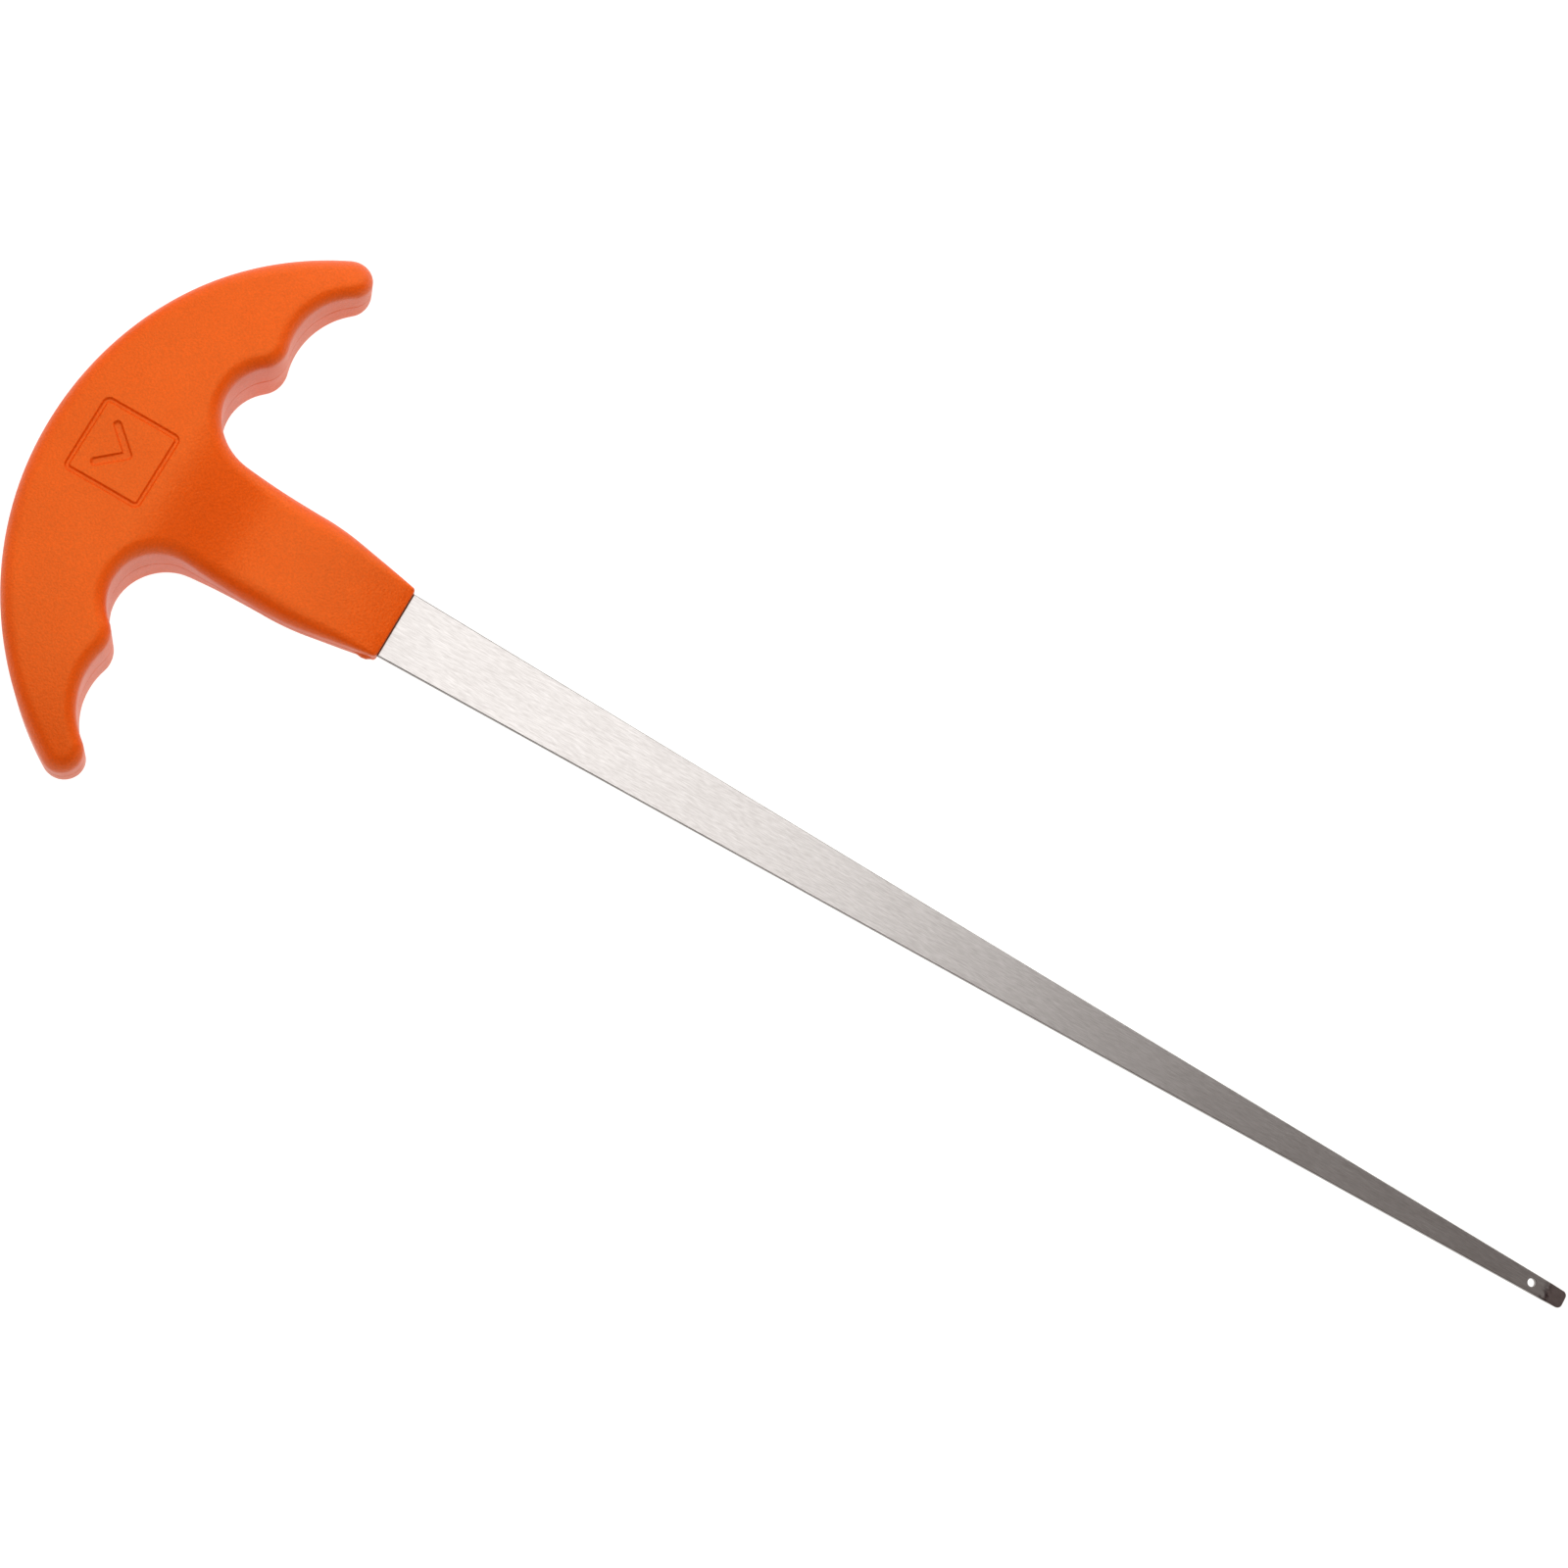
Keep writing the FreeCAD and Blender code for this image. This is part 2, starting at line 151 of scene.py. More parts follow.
def line_points(start, end, step):
    count = max(2, math.ceil(np.linalg.norm(end - start) / step))
    along = np.arange(count)[:, None] / count
    direction = unit(end - start)
    normal = np.array([-direction[1], direction[0]])
    return start + (end - start) * along, np.tile(normal, (count, 1))


def corner_points(corner, normal, radius, count):
    """Points and normals round an upper corner, from a side with this normal to an end face."""
    along = np.array([normal[1], -normal[0]])
    centre = corner - normal * radius + along * (normal[0] - 1) * radius / along[0]
    turns = np.linspace(math.atan2(normal[1], normal[0]), 0, count)
    ray = np.stack([np.cos(turns), np.sin(turns)], axis=1)
    return centre + ray * radius, ray


def half_outline(step):
    """Points and outward normals of the upper half outline, from the back to the collar."""
    back = np.array([back_x + back_radius, 0.0])
    tip = np.array([tip_x, math.sqrt((back_radius - tip_radius) ** 2 - (tip_x - back[0]) ** 2)])
    reach = outer_scallop_radius + tip_radius
    outer = np.array([outer_scallop_x, tip[1] - math.sqrt(reach ** 2 - (outer_scallop_x - tip_x) ** 2)])
    inner = np.array([inner_scallop_x, neck_half_width + inner_scallop_radius])
    outer_reach, inner_reach = outer_scallop_radius + lobe_radius, inner_scallop_radius + lobe_radius
    lobe = touching_centre(outer, outer_reach, inner, inner_reach)
    bend = np.array([neck_bend_x, neck_half_width - neck_bend_radius])
    collar = np.array([0.0, collar_half_width])
    angle = turn_from(bend, collar) + math.acos(neck_bend_radius / np.linalg.norm(collar - bend))
    bend_end = bend + neck_bend_radius * np.array([math.cos(angle), math.sin(angle)])
    joints = [
        np.array([back_x, 0.0]),
        back + back_radius * unit(tip - back),
        tip + tip_radius * unit(outer - tip),
        outer + outer_scallop_radius * unit(lobe - outer),
        lobe + lobe_radius * unit(inner - lobe),
        np.array([inner_scallop_x, neck_half_width]),
        np.array([neck_bend_x, neck_half_width]),
        bend_end,
    ]
    fine = step / 2
    side = unit(np.array([collar[1] - bend_end[1], bend_end[0] - collar[0]]) * -1)
    corner = corner_points(collar, side, collar_corner, 7)
    runs = [
        arc_points(back, back_radius, joints[0], joints[1], step, False),
        arc_points(tip, tip_radius, joints[1], joints[2], fine, False),
        arc_points(outer, outer_scallop_radius, joints[2], joints[3], step, True),
        arc_points(lobe, lobe_radius, joints[3], joints[4], fine, False),
        arc_points(inner, inner_scallop_radius, joints[4], joints[5], step, True),
        line_points(joints[5], joints[6], step),
        arc_points(bend, neck_bend_radius, joints[6], joints[7], step, False),
        line_points(joints[7], corner[0][0], step),
        corner,
    ]
    return np.vstack([run[0] for run in runs]), np.vstack([run[1] for run in runs])


def open_outline(step):
    """The whole outline from the collar's lower corner, round the head, to its upper corner."""
    points, normals = half_outline(step)
    flip = np.array([1.0, -1.0])
    lower = (points[1:] * flip)[::-1]
    return np.vstack([lower, points]), np.vstack([(normals[1:] * flip)[::-1], normals])


# ---------------------------------------------------------------- crowned face
def smooth_step(value, start, end):
    t = np.clip((value - start) / (end - start), 0, 1)
    return t * t * (3 - 2 * t)


def spline(knots, values, x):
    """Natural cubic spline through the knots."""
    knots, values = np.array(knots), np.array(values)
    gap = np.diff(knots)
    count = len(knots)
    system = np.eye(count)
    right = np.zeros(count)
    for i in range(1, count - 1):
        system[i, i - 1: i + 2] = [gap[i - 1], 2 * (gap[i - 1] + gap[i]), gap[i]]
        right[i] = 6 * ((values[i + 1] - values[i]) / gap[i] - (values[i] - values[i - 1]) / gap[i - 1])
    bend = np.linalg.solve(system, right)
    i = np.clip(np.searchsorted(knots, x) - 1, 0, count - 2)
    low, high = x - knots[i], knots[i + 1] - x
    cubic = (bend[i] * high ** 3 + bend[i + 1] * low ** 3) / (6 * gap[i])
    rise = (values[i] / gap[i] - bend[i] * gap[i] / 6) * high
    return cubic + rise + (values[i + 1] / gap[i] - bend[i + 1] * gap[i] / 6) * low


def crown(points):
    """Height of the crowned face over the parting plane, before its edges are rounded."""
    x, y = points[:, 0], points[:, 1]
    fade = np.where(x > head_front_x, 1 - smooth_step(np.abs(y), *neck_fade), 1.0)
    return crown_height - arm_fall * (y / arm_reach) ** 4 - spline(neck_fall_x, neck_fall, x) * fade


def collar_drop(points):
    """Small rounding of the face where it meets the collar face."""
    reach = np.clip(points[:, 0] + collar_round, 0, collar_round)
    return collar_round - np.sqrt(collar_round ** 2 - reach ** 2)


# ---------------------------------------------------------------- distances in the plane
def segment_distance(points, start, end):
    run = end - start
    t = np.clip((points - start) @ run / (run @ run), 0, 1)
    return np.linalg.norm(points - start - t[:, None] * run, axis=1)


def path_distance(points, path):
    """Distance to an open run of straight pieces."""
    return np.min([segment_distance(points, a, b) for a, b in zip(path[:-1], path[1:])], axis=0)


def edge_distance(points):
    """Distance to the handle's side wall, from the fine outline."""
    folded = np.stack([points[:, 0], np.abs(points[:, 1])], axis=1)
    best = np.full(len(points), np.inf)
    for start, end in zip(fine_outline[:-1], fine_outline[1:]):
        best = np.minimum(best, segment_distance(folded, start, end))
    return best


def inside(points, loop):
    """Whether each point is inside a closed loop."""
    x, y = points[:, 0], points[:, 1]
    odd = np.zeros(len(points), bool)
    for (x0, y0), (x1, y1) in zip(loop, np.roll(loop, -1, axis=0)):
        if y0 != y1:
            odd ^= ((y0 > y) != (y1 > y)) & (x < (x1 - x0) * (y - y0) / (y1 - y0) + x0)
    return odd


def circle(centre, radius, count):
    turns = 2 * math.pi * np.arange(count) / count
    return np.array(centre) + radius * np.stack([np.cos(turns), np.sin(turns)], axis=1)


def rounded_box(half, radius, corner_count, side_step):
    """Closed loop of a square with rounded corners, centred on the origin."""
    loop = []
    for corner in range(4):
        turns = math.pi / 2 * (corner + np.arange(corner_count + 1) / corner_count)
        centre = (half - radius) * np.array([[1, 1], [-1, 1], [-1, -1], [1, -1]][corner])
        loop.append(centre + radius * np.stack([np.cos(turns), np.sin(turns)], axis=1))
    return densify(np.vstack(loop), side_step)


def densify(loop, step):
    """Closed loop with points added, so that none of its sides is longer than step."""
    out = []
    for a, b in zip(loop, np.roll(loop, -1, axis=0)):
        count = max(1, math.ceil(np.linalg.norm(b - a) / step))
        out.append(a + (b - a) * np.arange(count)[:, None] / count)
    return np.vstack(out)


def rounded_box_distance(points, half, radius):
    """Distance to the edge of a rounded square, negative inside."""
    q = np.abs(points) - (half - radius)
    outside = np.linalg.norm(np.maximum(q, 0), axis=1)
    return outside + np.minimum(q.max(axis=1), 0) - radius


def rounding_drop(distance, radius):
    """How far a rounded edge lies under the sharp one, at a distance from it."""
    reach = np.clip(radius - distance, 0, radius)
    return radius - np.sqrt(np.maximum(radius ** 2 - reach ** 2, 0))


def rounding_offsets(steps):
    """Offsets from the edge, as shares of the radius, that turn a rounding in even steps."""
    return 1 - np.cos(math.pi / 2 * np.arange(steps + 1) / steps)


# ---------------------------------------------------------------- solids from plan and heights
class Plan:
    """Points and lines in the plane that a solid's mesh must follow."""

    def __init__(self):
        self.points = []
        self.edges = []
        self.count = 0

    def scatter(self, points):
        self.points.append(np.asarray(points, float))
        self.count += len(points)

    def chain(self, points, closed):
        first = self.count
        self.scatter(points)
        last = self.count - 1
        self.edges += [(i, i + 1) for i in range(first, last)]
        if closed:
            self.edges.append((last, first))

    def triangles(self):
        coords = [Vector(p) for p in np.vstack(self.points)]
        verts, _, faces, _, _, _ = delaunay_2d_cdt(coords, self.edges, [], 0, 1e-5)
        return np.array(verts), np.array([f for f in faces if len(f) == 3])


def solid_between(plan, top, bottom, rows=1, shift=None):
    """Vertices and faces of a closed solid between two sets of heights over a plan.

    top and bottom take points and their triangles' centres, and give for every triangle the
    number of its surface (below 0 where there is no material), and a list of height functions.
    Where neighbours lie on different surfaces, an upright wall joins them. The outer wall has
    rows of faces, which shift may push outwards.
    """
    flat, triangles = plan.triangles()
    centres = flat[triangles].mean(axis=1)
    top_of, top_heights = top(centres)
    bottom_of, bottom_heights = bottom(centres)
    solid = (top_of >= 0) & (bottom_of >= 0)
    triangles, top_of, bottom_of = triangles[solid], top_of[solid], bottom_of[solid]
    a, b, c = (flat[triangles[:, i]] for i in range(3))
    turned = np.cross(b - a, c - a) < 0
    triangles[turned] = triangles[turned][:, ::-1]

    upper = [height(flat) for height in top_heights]
    lower = [height(flat) for height in bottom_heights]
    places, verts, faces = {}, [], []

    def vertex(index, surface, heights, side):
        key = (index, side, surface)
        if key not in places:
            places[key] = len(verts)
            verts.append((*flat[index], heights[surface][index]))
        return places[key]

    def raised(index, surface):
        return vertex(index, surface, upper, "top")

    def sunk(index, surface):
        return vertex(index, surface, lower, "bottom")

    sides = {}
    for number, (corners, above, below) in enumerate(zip(triangles, top_of, bottom_of)):
        faces.append([raised(i, above) for i in corners])
        faces.append([sunk(i, below) for i in corners[::-1]])
        for i, j in zip(corners, np.roll(corners, -1)):
            sides.setdefault((min(i, j), max(i, j)), []).append((number, i, j))

    columns = {}

    def column(index, above, below):
        """Vertices up the outer wall at one point of the plan."""
        key = (index, above, below)
        if key not in columns:
            low, high = sunk(index, below), raised(index, above)
            z0, z1 = verts[low][2], verts[high][2]
            stack = [low]
            for row in range(1, rows):
                z = z0 + (z1 - z0) * row / rows
                place = np.array([*flat[index], z])
                if shift is not None:
                    place = place + shift(place)
                stack.append(len(verts))
                verts.append(tuple(place))
            columns[key] = stack + [high]
        return columns[key]

    for users in sides.values():
        number, i, j = users[0]
        above, below = top_of[number], bottom_of[number]
        if len(users) == 1:
            left, right = column(i, above, below), column(j, above, below)
            for row in range(rows):
                faces.append([left[row], right[row], right[row + 1], left[row + 1]])
            continue
        other = users[1][0]
        if top_of[other] != above:
            beyond = top_of[other]
            faces.append([raised(j, above), raised(i, above), raised(i, beyond), raised(j, beyond)])
        if bottom_of[other] != below:
            beyond = bottom_of[other]
            faces.append([sunk(i, below), sunk(j, below), sunk(j, beyond), sunk(i, beyond)])

    return np.array(verts), faces


def turned_over(solid):
    """The solid mirrored in the parting plane."""
    verts, faces = solid
    return verts * np.array([1, 1, -1]), [face[::-1] for face in faces]


def mesh_of(name, solids):
    """One mesh of several solids given in millimetres, smooth apart from its hard edges."""
    verts, faces = [], []
    for solid_verts, solid_faces in solids:
        faces += [[len(verts) + i for i in face] for face in solid_faces]
        verts += list(solid_verts)
    mesh = bpy.data.meshes.new(name)
    mesh.from_pydata(np.array(verts) * MM + np.array([collar_x, 0, parting_z]), [], faces)
    work = bmesh.new()
    work.from_mesh(mesh)
    bmesh.ops.remove_doubles(work, verts=work.verts, dist=2e-6)
    bmesh.ops.dissolve_degenerate(work, edges=work.edges, dist=1e-7)
    bmesh.ops.recalc_face_normals(work, faces=work.faces)
    work.to_mesh(mesh)
    work.free()
    mesh.shade_smooth()
    mesh.set_sharp_from_angle(angle=math.radians(solid_edge_angle))
    return mesh


def add_piece(name, mesh, material, stands_for):
    piece = bpy.data.objects.new(name, mesh)
    bpy.context.scene.collection.objects.link(piece)
    mesh.materials.clear()
    mesh.materials.append(material)
    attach(piece, "root")
    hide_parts(stands_for)
    return piece


fine_outline = half_outline(0.8)[0]

# ---------------------------------------------------------------- handle shells
boss_radius = 3.5
tang_boss_radius = 3.1
pilot_radius = 1.6
pilot_top = 5.1
counterbore_radius = 3.4
counterbore_edge = 0.35
screw_seat = 3.4
rear_boss_radius = 5.0
rear_boss_step = 1.4
rib_half, rib_gap = 0.9, 0.3
arm_rib_y = (13.5, 38.0)
slot_depth, slot_play = 0.8, 0.1
tang_half = 6.6
inner_step, round_count = 2.0, 40
shoulder_x, shoulder_half = -4.1, 7.83
tongue = (1.2, 2.4)
tongue_end_x = -7.0
tongue_height, groove_depth, groove_play = 1.1, 1.2, 0.1

mark_x, mark_half, mark_corner = -66.2, 8.5, 1.0
mark_depth, groove_half, groove_edge = 0.5, 0.45, 0.2
chevron_path = np.array([[-3.8, 4.6], [1.4, 0.0], [-3.8, -4.6]]) + np.array([mark_x, 0])
chevron_half = 0.8
groove_clear = 0.5


def inset_line(base, normals, inset):
    return base - normals * inset


def rib_strips():
    """(start, end) of every rib in plan, both arms."""
    tang_screw, root, end = (np.array(screws[screw_names[i]]) for i in (1, 2, 4))
    strips = []
    for side in (1, -1):
        flip = np.array([1, side])
        strips += [(tang_screw * flip, root * flip), (root * flip, end * flip)]
        strips += [(np.array([back_x, side * y]), np.array([solid_neck_x, side * y])) for y in arm_rib_y]
    return strips


def strip_loop(start, end, half):
    along = unit(end - start)
    across = np.array([-along[1], along[0]]) * half
    return np.array([start + across, start - across, end - across, end + across])


def offset_ring(path, distance, step):
    """Points at one distance from an open path."""
    points = []
    for start, end in zip(path[:-1], path[1:]):
        along = unit(end - start)
        across = np.array([-along[1], along[0]])
        count = math.ceil(np.linalg.norm(end - start) / step)
        shares = np.arange(count + 1)[:, None] / count
        for side in (1, -1):
            points.append(start + (end - start) * shares + across * distance * side)
    for corner in path:
        points.append(circle(corner, distance, max(8, math.ceil(2 * math.pi * distance / step))))
    points = np.vstack(points)
    return points[path_distance(points, path) > distance - 1e-6]


def mark_sink(points):
    """Depth of the mark's grooves: flat floor, softly rounded flanks."""
    local = points - np.array([mark_x, 0])
    frame_gap = np.abs(rounded_box_distance(local, mark_half, mark_corner)) - groove_half
    chevron_gap = path_distance(points, chevron_path) - chevron_half
    gap = np.minimum(frame_gap, chevron_gap)
    return mark_depth * (1 - smooth_step(gap, -groove_edge, groove_edge))


def shell_plan(holes):
    """Plan of a shell: outline, rounding rings, inner features and a grid for the face."""
    plan = Plan()
    base, normals = open_outline(outline_step)
    radius = np.interp(base[:, 0], rounding_x, rounding)[:, None]
    collar_count = 12
    corner = base[-1][1]
    shares = np.arange(1, collar_count) / collar_count
    closing = np.stack([np.zeros(collar_count - 1), corner - 2 * corner * shares], axis=1)
    plan.chain(np.vstack([base, closing]), True)
    for share in rounding_offsets(rounding_steps)[1:]:
        ring = inset_line(base, normals, radius * share)
        plan.chain(ring[ring[:, 0] < -1e-4], False)
    plan.chain(inset_line(base, normals, parting_chamfer), False)
    for share in rounding_offsets(3)[1:]:
        x = -collar_round * share
        y = (collar_half_width - 0.4) * np.linspace(-1, 1, collar_count)
        plan.chain(np.stack([np.full(collar_count, x), y], 1), False)

    cavity = inset_line(base, normals, wall)
    cavity = cavity[cavity[:, 0] < solid_neck_x]
    plan.chain(cavity, True)
    for inset in tongue:
        band = inset_line(base, normals, inset)
        plan.chain(band[band[:, 0] < tongue_end_x], False)
    for x, y in screws.values():
        for size in holes:
            plan.chain(circle((x, y), size, round_count), True)
    for start, end in rib_strips():
        loop = densify(strip_loop(start, end, rib_half), inner_step)
        kept = inside(loop, cavity)
        for run in np.split(np.arange(len(loop)), np.flatnonzero(np.diff(kept.astype(int))) + 1):
            if kept[run[0]] and len(run) > 1:
                plan.chain(loop[run], False)
    slot_end = tang_end - slot_play
    slot = [[slot_end, tang_half], [slot_end, -tang_half], [shoulder_x, -tang_half],
            [shoulder_x, -shoulder_half], [0, -shoulder_half], [0, shoulder_half],
            [shoulder_x, shoulder_half], [shoulder_x, tang_half]]
    plan.chain(densify(np.array(slot), inner_step), True)

    across = np.arange(-64, 64.01, face_step)
    along = np.arange(back_x + 1, -0.5, face_step)
    grid = np.stack(np.meshgrid(along, across), axis=-1).reshape(-1, 2)
    local = grid - np.array([mark_x, 0])
    by_mark = np.abs(rounded_box_distance(local, mark_half, mark_corner)) < groove_half + groove_clear
    by_mark |= path_distance(grid, chevron_path) < chevron_half + groove_clear
    clear = inside(grid, np.vstack([base, closing])) & (edge_distance(grid) > 4.0) & ~by_mark
    plan.scatter(grid[clear])
    return plan, cavity, np.array(slot)


def on_tang(centre):
    return abs(centre[1]) < 0.01


def surfaces_below(points, cavity, slot, extra_steps):
    """Number of the underside's surface for each point; later entries win."""
    kind = np.zeros(len(points), int)
    hollow = inside(points, cavity)
    kind[hollow] = 1
    for start, end in rib_strips():
        kind[hollow & inside(points, strip_loop(start, end, rib_half))] = 2
    for centre in screws.values():
        from_screw = np.linalg.norm(points - centre, axis=1)
        for size, number in extra_steps:
            kind[hollow & (from_screw < size)] = number
    kind[inside(points, slot)] = 3
    for centre in screws.values():
        if on_tang(centre):
            kind[np.linalg.norm(points - centre, axis=1) < tang_boss_radius] = 0
    return kind


def flush(points):
    """Height of the parting face, with a fine chamfer at its outer edge."""
    return np.clip(parting_chamfer - edge_distance(points), 0, None)


def face_height(points):
    """The moulded outside: crown, rounded edges and the small rounding at the collar."""
    radius = np.interp(points[:, 0], rounding_x, rounding)
    return crown(points) - rounding_drop(edge_distance(points), radius) - collar_drop(points)


def level(height):
    return lambda points: np.full(len(points), height)


def roof(points):
    return crown(points) - wall


def in_band(points, inner_play):
    gap = edge_distance(points)
    return (gap > tongue[0] - inner_play) & (gap < tongue[1] + inner_play) & (points[:, 0] < tongue_end_x)


gate_x, gate_z, gate_half, gate_rise, gate_tall = -2.5, 1.2, 1.7, 0.5, 1.2


def gate_nub(place):
    """Trimmed gate: a low nub on the side wall, by the collar."""
    near = max(0.0, 1 - abs(place[0] - gate_x) / gate_half)
    tall = max(0.0, 1 - abs(place[2] - gate_z) / gate_tall)
    side = -1.0 if place[1] < 0 else 0.0
    return np.array([0, side * gate_rise * smooth_step(near, 0, 0.6) * smooth_step(tall, 0, 0.7), 0])


def front_shell_mesh():
    plan, cavity, slot = shell_plan((pilot_radius, tang_boss_radius, boss_radius))
    for offset in (-1, -0.5, 0.0, 0.5, 1):
        for half in (mark_half - groove_half, mark_half + groove_half):
            half += (1 if half > mark_half else -1) * offset * groove_edge
            loop = rounded_box(half, max(0.2, mark_corner + half - mark_half), 6, 1.0)
            plan.chain(loop + np.array([mark_x, 0]), True)
        plan.scatter(offset_ring(chevron_path, chevron_half + offset * groove_edge, 0.4))

    def top(points):
        return np.zeros(len(points), int), [lambda p: face_height(p) - mark_sink(p)]

    def bottom(points):
        kind = surfaces_below(points, cavity, slot, [(boss_radius, 0)])
        kind[in_band(points, 0)] = 4
        for centre in screws.values():
            kind[np.linalg.norm(points - centre, axis=1) < pilot_radius] = 5
        kind[~inside(points, outline_loop)] = -1
        steps = (rib_gap, slot_depth, -tongue_height, pilot_top)
        return kind, [flush, roof] + [level(step) for step in steps]

    return mesh_of("front_shell_skin", [solid_between(plan, top, bottom, wall_rows)])


def rear_shell_mesh():
    """Built face up, then turned over."""
    plan, cavity, slot = shell_plan((pilot_radius, tang_boss_radius, boss_radius, rear_boss_radius))
    for share in rounding_offsets(3):
        for x, y in screws.values():
            size = counterbore_radius + counterbore_edge * share
            plan.chain(circle((x, y), size, round_count), True)

    def skin(points):
        height = np.minimum(face_height(points), rest_land)
        for centre in screws.values():
            gap = np.linalg.norm(points - centre, axis=1) - counterbore_radius
            height = height - rounding_drop(np.maximum(gap, 0), counterbore_edge)
        return height

    def top(points):
        kind = np.zeros(len(points), int)
        for centre in screws.values():
            kind[np.linalg.norm(points - centre, axis=1) < counterbore_radius] = 1
        return kind, [skin, level(screw_seat)]

    def bottom(points):
        kind = surfaces_below(points, cavity, slot, [(rear_boss_radius, 5), (boss_radius, 0)])
        kind[in_band(points, groove_play)] = 4
        for centre in screws.values():
            kind[np.linalg.norm(points - centre, axis=1) < pilot_radius] = -1
        kind[~inside(points, outline_loop)] = -1
        steps = (rib_gap, slot_depth, groove_depth, rear_boss_step)
        return kind, [flush, roof] + [level(step) for step in steps]

    shell = solid_between(plan, top, bottom, wall_rows, gate_nub)
    return mesh_of("rear_shell_skin", [turned_over(shell)])


outline_loop = open_outline(outline_step)[0]


# ---------------------------------------------------------------- blade
root_width, tip_width = 15.4, 3.9
end_radius = 1.1
shoulder = 4.0
tang_width, tang_corner = 13.0, 2.0
tang_hole_radius = 3.2
bevel_length, bevel_end = 4.4, 0.25
eye_from_end, eye_radius, eye_break = 8.2, 0.95, 0.1
blade_round = 0.16
half_thickness = blade_thickness / 2


def blade_path(step):
    """Points and outward normals of the blade's edge, from shoulder to shoulder round the end."""
    slope = (root_width - tip_width) / 2 / blade_end
    side = unit(np.array([slope, 1.0]))
    corner = corner_points(np.array([blade_end, tip_width / 2]), side, end_radius, 9)
    start = np.array([-shoulder, root_width / 2 + slope * shoulder])
    straight = line_points(start, corner[0][0], step)[0]
    upper = np.vstack([straight, corner[0]])
    normals = np.vstack([np.tile(side, (len(straight), 1)), corner[1]])
    flip = np.array([1.0, -1.0])
    return np.vstack([upper * flip, upper[::-1]]), np.vstack([normals * flip, normals[::-1]])


def blade_mesh():
    plan = Plan()
    path, normals = blade_path(6.0)
    tang = corner_points(np.array([-tang_end, tang_width / 2]), np.array([0.0, 1.0]), tang_corner, 6)[0]
    tang = np.vstack([[-shoulder, tang_width / 2], tang * np.array([-1, 1])])
    tang = np.vstack([tang, tang[::-1] * np.array([1, -1])])
    loop = np.vstack([path, tang])
    plan.chain(loop, True)
    for share in list(rounding_offsets(4)[1:]) + [1.5]:
        plan.chain(inset_line(path, normals, blade_round * share), False)
    eye = (blade_end - eye_from_end, 0.0)
    for share in (0, 0.5, 1.0, 1.4):
        plan.chain(circle(eye, eye_radius + eye_break * share, 48), True)
    bevel_start = blade_end - bevel_length
    for x in (bevel_start - 0.12, bevel_start, bevel_start + 0.12):
        plan.chain(np.array([[x, -tip_width * 0.52], [x, tip_width * 0.52]]), False)
    tang_screws = [centre for centre in screws.values() if on_tang(centre)]
    for centre in tang_screws:
        plan.chain(circle(centre, tang_hole_radius, round_count), True)

    def height(points):
        edge = path_distance(points, path)
        from_eye = np.linalg.norm(points - eye, axis=1) - eye_radius
        ground = np.clip(points[:, 0] - bevel_start, 0, None) * (half_thickness - bevel_end) / bevel_length
        worn = np.clip(eye_break - from_eye, 0, eye_break)
        rounded = np.where(points[:, 0] < -shoulder + 0.1, 0, rounding_drop(edge, blade_round))
        return half_thickness - ground - worn - rounded

    def surface(sign):
        def pick(points):
            kind = np.where(inside(points, loop), 0, -1)
            kind[np.linalg.norm(points - eye, axis=1) < eye_radius] = -1
            for centre in tang_screws:
                kind[np.linalg.norm(points - centre, axis=1) < tang_hole_radius] = -1
            return kind, [lambda p: sign * height(p)]
        return pick

    mesh = mesh_of("blade_skin", [solid_between(plan, surface(1), surface(-1), 2)])
    layer = mesh.uv_layers.new(name="brushing")
    for corner in mesh.loops:
        place = mesh.vertices[corner.vertex_index].co
        layer.data[corner.index].uv = (place.x, place.y)
    return mesh


# ---------------------------------------------------------------- screws
head_radius, head_height, head_round = 3.1, 2.2, 0.9
head_dish, head_edge_share = 0.25, 0.72
recess_half, recess_reach, recess_depth, recess_rise = 0.5, 1.8, 1.2, 0.45
thread_core, thread_crest, thread_pitch, thread_half = 1.14, 1.5, 1.3, 0.24
shank_end, point_length, point_share = 4.6, 1.0, 0.35


def screw_head(centre):
    """Pan head with a cross recess, face up; its seat is on the plane screw_seat."""
    plan = Plan()
    for share in rounding_offsets(6):
        plan.chain(circle((0, 0), head_radius - head_round * share, 48), True)
    a, b = recess_half, recess_reach
    cross = [[b, -a], [b, a], [a, a], [a, b], [-a, b], [-a, a],
             [-b, a], [-b, -a], [-a, -a], [-a, -b], [a, -b], [a, -a]]
    cross = densify(np.array(cross, float), 0.4)
    plan.chain(cross, True)
    plan.scatter([[0.0, 0.0]])
    plan.chain(circle((0, 0), thread_core, 32), True)

    def top(points):
        kind = np.where(inside(points, cross), 1, 0)
        kind[np.linalg.norm(points, axis=1) > head_radius] = -1
        return kind, [crest, floor_of_recess]

    def crest(points):
        from_axis = np.linalg.norm(points, axis=1)
        dish = head_dish * (from_axis / head_radius) ** 2
        edge = rounding_drop(head_radius - from_axis, head_round) * head_edge_share
        return screw_seat + head_height - dish - edge

    def floor_of_recess(points):
        from_axis = np.linalg.norm(points, axis=1)
        return screw_seat + head_height - recess_depth + recess_rise * from_axis

    def bottom(points):
        return np.zeros(len(points), int), [level(screw_seat)]

    verts, faces = solid_between(plan, top, bottom, 2)
    return turned_over((verts + np.array([*centre, 0]), faces))


